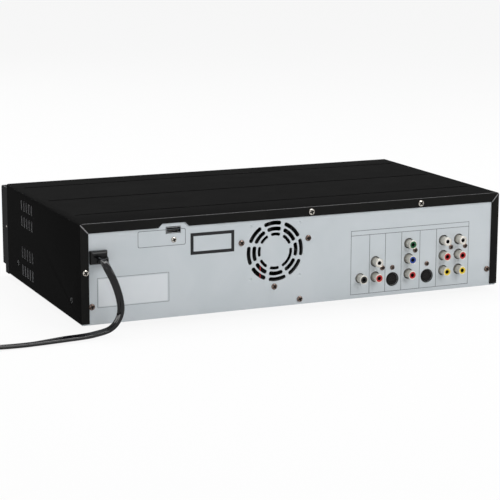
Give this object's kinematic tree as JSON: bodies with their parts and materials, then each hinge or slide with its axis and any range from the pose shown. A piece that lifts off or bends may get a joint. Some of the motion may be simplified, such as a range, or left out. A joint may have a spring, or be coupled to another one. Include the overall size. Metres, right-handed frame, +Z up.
{
  "type": "disc and tape combination player",
  "caption": "Home disc and tape player with a flat black case, jacks and cooling fan behind, a sliding disc tray, a cassette door and its mains cord.",
  "frame": {"origin": "on the floor under the middle of the player's own box, from its buttons to the tips of its jacks, without the free cord", "axes": "+X to the right seen from the front, +Y towards the jacks at the rear, +Z up"},
  "size_m": [0.6194, 0.2897, 0.0995],
  "materials": {
    "cover_paint": "satin black paint on steel",
    "rear_paint": "light silver grey paint on steel",
    "front_plastic": "semi-gloss black moulding",
    "window_smoke": "smoked, polished",
    "button_plastic": "satin dark grey",
    "board_green": "green solder mask",
    "zinc_steel": "zinc plated sheet",
    "foot_rubber": "moulded rubber",
    "tape_yellow": "yellow winding tape",
    "sleeve_grey": "dark shrink sleeve",
    "bare_aluminium": "machined aluminium",
    "jack_nickel": "nickel plated",
    "jack_plastic": "black moulding",
    "fan_plastic": "black moulding",
    "relief_plastic": "glossy black moulding",
    "cord_vinyl": "soft glossy black vinyl",
    "drive_plastic": "dark grey moulding",
    "tray_plastic": "fine black grain",
    "gear_plastic": "natural white acetal",
    "belt_rubber": "smooth black rubber",
    "bare_steel": "ground steel",
    "flywheel_brass": "turned brass",
    "screw_nickel": "nickel plated screw",
    "screw_dark": "dark plated screw",
    "insert_black": "black insulator",
    "insert_white": "white insulator",
    "insert_red": "red insulator",
    "insert_yellow": "yellow insulator",
    "insert_green": "green insulator",
    "insert_blue": "blue insulator",
    "print_dark": "dark screen print",
    "label_white": "blank white film",
    "print_light": "light grey screen print"
  },
  "bodies": {
    "case": {"top_cover": "cover_paint", "rear_panel": "rear_paint", "front_panel": "front_plastic", "display_window": "window_smoke", "display_board": "board_green", "chassis_base": "zinc_steel", "foot_front_left": "foot_rubber", "foot_front_right": "foot_rubber", "foot_rear_left": "foot_rubber", "foot_rear_right": "foot_rubber", "main_board": "board_green", "power_board": "board_green", "power_transformer": "tape_yellow", "main_capacitor": "sleeve_grey", "heat_sink": "bare_aluminium", "coax_jack": "jack_nickel", "audio_out_jacks": "jack_nickel", "svideo_out_jack": "jack_plastic", "component_jacks": "jack_nickel", "svideo_in_jack": "jack_plastic", "av_out_jacks": "jack_nickel", "av_in_jacks": "jack_nickel", "hdmi_connector": "jack_nickel", "hdmi_board": "board_green", "fan_frame": "fan_plastic", "strain_relief": "relief_plastic", "power_cord": "cord_vinyl", "power_cord_coil": "cord_vinyl", "power_plug": "cord_vinyl", "drive_frame": "drive_plastic", "loading_motor": "zinc_steel", "drive_belt": "belt_rubber", "clamp_bridge": "zinc_steel", "deck_chassis": "zinc_steel", "lower_drum": "bare_aluminium"},
    "tray": {"disc_tray": "tray_plastic", "tray_front": "front_plastic"},
    "tray_gear": {"tray_gear": "gear_plastic"},
    "motor_pulley": {"motor_pulley": "gear_plastic"},
    "traverse": {"traverse_base": "drive_plastic", "spindle_motor": "zinc_steel"},
    "pickup": {"optical_pickup": "drive_plastic"},
    "lead_screw": {"lead_screw": "bare_steel"},
    "turntable": {"turntable": "tray_plastic"},
    "clamp_puck": {"clamp_puck": "gear_plastic"},
    "fan_rotor": {"fan_rotor": "fan_plastic"},
    "upper_drum": {"upper_drum": "bare_aluminium"},
    "capstan": {"capstan": "flywheel_brass"},
    "supply_reel": {"supply_reel": "gear_plastic"},
    "takeup_reel": {"takeup_reel": "gear_plastic"},
    "pinch_arm": {"pinch_arm": "bare_steel"},
    "pinch_roller": {"pinch_roller": "belt_rubber"},
    "slider": {"carrier_slider": "zinc_steel"},
    "carrier": {"cassette_carrier": "zinc_steel"},
    "door": {"cassette_door": "front_plastic"},
    "power_button": {"power_button": "button_plastic"},
    "eject_button": {"eject_button": "button_plastic"},
    "stop_button": {"stop_button": "button_plastic"},
    "play_button": {"play_button": "button_plastic"},
    "tray_button": {"tray_button": "button_plastic"}
  },
  "joints": [
    {"name": "tray_slide", "type": "slide", "parent": "case", "child": "tray", "axis": [0, -1, 0], "range_m": [0, 0.152]},
    {"name": "tray_gear_spin", "type": "hinge", "parent": "case", "child": "tray_gear", "pos_m": [0.1619, -0.0891, 0.0586], "axis": [0, 0, 1], "range_deg": [-660, 10]},
    {"name": "motor_pulley_spin", "type": "hinge", "parent": "case", "child": "motor_pulley", "pos_m": [0.098, -0.0891, 0.0403], "axis": [0, 0, 1], "range_deg": [-2300, 20]},
    {"name": "traverse_tilt", "type": "hinge", "parent": "case", "child": "traverse", "pos_m": [0.13, 0.0439, 0.0555], "axis": [1, 0, 0], "range_deg": [0, 3.5]},
    {"name": "pickup_slide", "type": "slide", "parent": "traverse", "child": "pickup", "axis": [0, 1, 0], "range_m": [0, 0.035]},
    {"name": "lead_screw_spin", "type": "hinge", "parent": "traverse", "child": "lead_screw", "pos_m": [0.157, -0.0241, 0.06], "axis": [0, 1, 0], "range_deg": [-10, 4250]},
    {"name": "turntable_spin", "type": "hinge", "parent": "traverse", "child": "turntable", "pos_m": [0.13, -0.0401, 0.067], "axis": [0, 0, 1], "continuous": true},
    {"name": "clamp_puck_spin", "type": "hinge", "parent": "case", "child": "clamp_puck", "pos_m": [0.13, -0.0401, 0.0724], "axis": [0, 0, 1], "continuous": true},
    {"name": "fan_spin", "type": "hinge", "parent": "case", "child": "fan_rotor", "pos_m": [0.0262, 0.11545, 0.0599], "axis": [0, 1, 0], "continuous": true},
    {"name": "drum_spin", "type": "hinge", "parent": "case", "child": "upper_drum", "pos_m": [-0.112, 0.0469, 0.0441], "axis": [0, 0, 1], "continuous": true},
    {"name": "capstan_spin", "type": "hinge", "parent": "case", "child": "capstan", "pos_m": [-0.065, 0.0139, 0.0183], "axis": [0, 0, 1], "continuous": true},
    {"name": "supply_reel_spin", "type": "hinge", "parent": "case", "child": "supply_reel", "pos_m": [-0.158, -0.0441, 0.0258], "axis": [0, 0, 1], "continuous": true},
    {"name": "takeup_reel_spin", "type": "hinge", "parent": "case", "child": "takeup_reel", "pos_m": [-0.066, -0.0441, 0.0258], "axis": [0, 0, 1], "continuous": true},
    {"name": "pinch_arm_swing", "type": "hinge", "parent": "case", "child": "pinch_arm", "pos_m": [-0.04599, 0.03389, 0.0261], "axis": [0, 0, 1], "range_deg": [0, 35]},
    {"name": "pinch_roller_spin", "type": "hinge", "parent": "pinch_arm", "child": "pinch_roller", "pos_m": [-0.0691, 0.03685, 0.0294], "axis": [0, 0, 1], "continuous": true},
    {"name": "carrier_travel", "type": "slide", "parent": "case", "child": "slider", "axis": [0, 1, 0], "range_m": [0, 0.042]},
    {"name": "carrier_drop", "type": "slide", "parent": "slider", "child": "carrier", "axis": [0, 0, -1], "range_m": [0, 0.0245]},
    {"name": "door_swing", "type": "hinge", "parent": "case", "child": "door", "pos_m": [-0.112, -0.1275, 0.0814], "axis": [1, 0, 0], "range_deg": [0, 85], "stiffness_Nm_per_rad": 0.004, "springref_deg": -17.19},
    {"name": "power_button_press", "type": "slide", "parent": "case", "child": "power_button", "axis": [0, 1, 0], "range_m": [0, 0.0012], "stiffness_N_per_m": 250},
    {"name": "eject_button_press", "type": "slide", "parent": "case", "child": "eject_button", "axis": [0, 1, 0], "range_m": [0, 0.0012], "stiffness_N_per_m": 250},
    {"name": "stop_button_press", "type": "slide", "parent": "case", "child": "stop_button", "axis": [0, 1, 0], "range_m": [0, 0.0012], "stiffness_N_per_m": 250},
    {"name": "play_button_press", "type": "slide", "parent": "case", "child": "play_button", "axis": [0, 1, 0], "range_m": [0, 0.0012], "stiffness_N_per_m": 250},
    {"name": "tray_button_press", "type": "slide", "parent": "case", "child": "tray_button", "axis": [0, 1, 0], "range_m": [0, 0.0012], "stiffness_N_per_m": 250}
  ],
  "couplings": [
    {"joint": "tray_gear_spin", "follows": "tray_slide", "rad_per_m": -74.074},
    {"joint": "motor_pulley_spin", "follows": "tray_slide", "rad_per_m": -259.26},
    {"joint": "lead_screw_spin", "follows": "pickup_slide", "rad_per_m": 2094.4},
    {"joint": "clamp_puck_spin", "follows": "turntable_spin", "ratio": 1}
  ]
}
